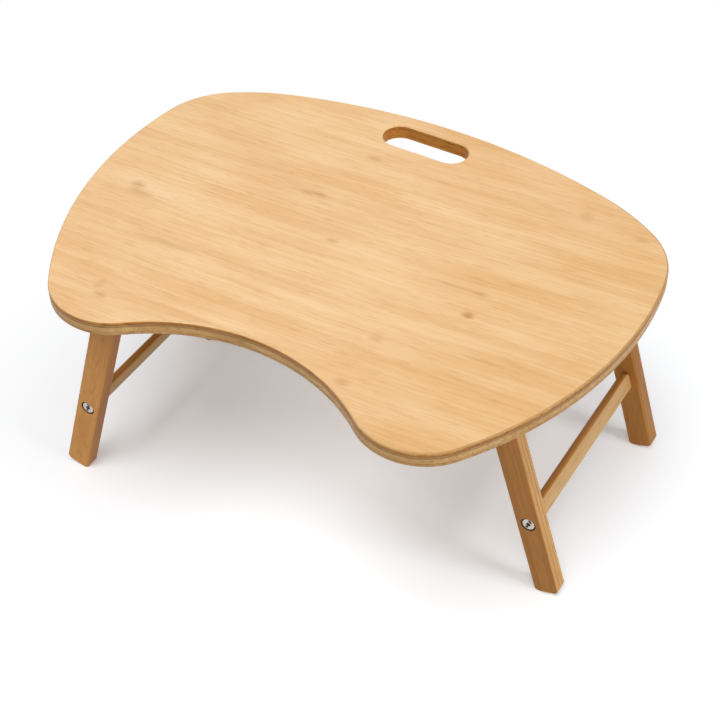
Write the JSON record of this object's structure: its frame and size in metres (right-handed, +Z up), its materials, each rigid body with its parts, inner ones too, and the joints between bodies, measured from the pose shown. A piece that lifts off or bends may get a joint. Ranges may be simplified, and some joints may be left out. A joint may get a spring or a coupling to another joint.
{
  "type": "laptop desk",
  "caption": "Low kidney shaped laptop desk of laminated bamboo with a carrying slot, on splayed leg frames that fold flat under the board.",
  "frame": {"origin": "on the floor, under the middle of the board's bounding box", "axes": "+X to the right of a person sitting at the bay in the front edge, +Y to the back, +Z up"},
  "size_m": [0.53, 0.395, 0.275],
  "materials": {
    "bamboo_face": "satin lacquer",
    "bamboo_core": "sanded edge, lacquered",
    "bamboo_back": "satin lacquer",
    "bamboo_leg": "satin lacquer",
    "steel": "nickel plated",
    "brass": "turned"
  },
  "bodies": {
    "board": {"top_ply": "bamboo_face", "core_ply": "bamboo_core", "bottom_ply": "bamboo_back", "right_hinge_rail": "bamboo_leg", "right_front_pivot_bolt": "steel", "right_rear_pivot_bolt": "steel", "right_inserts": "brass", "right_washers": "steel", "right_rail_screws": "steel", "left_spacer": "bamboo_leg", "left_hinge_rail": "bamboo_leg", "left_front_pivot_bolt": "steel", "left_rear_pivot_bolt": "steel", "left_inserts": "brass", "left_washers": "steel", "left_rail_screws": "steel", "spacer_screws": "steel"},
    "right_frame": {"right_front_leg": "bamboo_leg", "right_rear_leg": "bamboo_leg", "right_crossbar": "bamboo_leg", "right_crossbar_screws": "steel"},
    "left_frame": {"left_front_leg": "bamboo_leg", "left_rear_leg": "bamboo_leg", "left_crossbar": "bamboo_leg", "left_crossbar_screws": "steel"}
  },
  "joints": [
    {"name": "right_fold", "type": "hinge", "parent": "board", "child": "right_frame", "pos_m": [0.16588, 0.057, 0.2455], "axis": [0, 1, 0], "range_deg": [0, 106.8]},
    {"name": "left_fold", "type": "hinge", "parent": "board", "child": "left_frame", "pos_m": [-0.16731, -0.0285, 0.2275], "axis": [0, -1, 0], "range_deg": [0, 106.8]}
  ]
}
